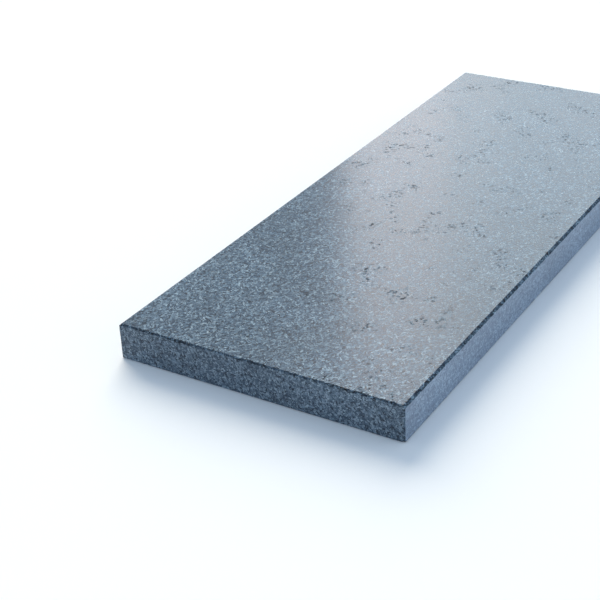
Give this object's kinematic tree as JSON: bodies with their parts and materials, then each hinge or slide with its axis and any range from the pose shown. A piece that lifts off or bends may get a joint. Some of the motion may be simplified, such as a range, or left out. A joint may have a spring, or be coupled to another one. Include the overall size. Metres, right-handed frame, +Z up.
{
  "type": "granite slab",
  "caption": "Long flat rectangular slab of blue-grey granite with a polished top, honed long sides, sawn ends and ground edges.",
  "frame": {"origin": "centre of the underside, on the surface that the slab lies on", "axes": "+Z up through the thickness, X along the length with the shown sawn end towards -X, Y across the width with the shown long side towards -Y"},
  "size_m": [0.6, 0.24, 0.03],
  "materials": {
    "granite": "polished top, honed long sides, sawn ends"
  },
  "bodies": {
    "root": {"granite_slab": "granite"}
  },
  "joints": []
}
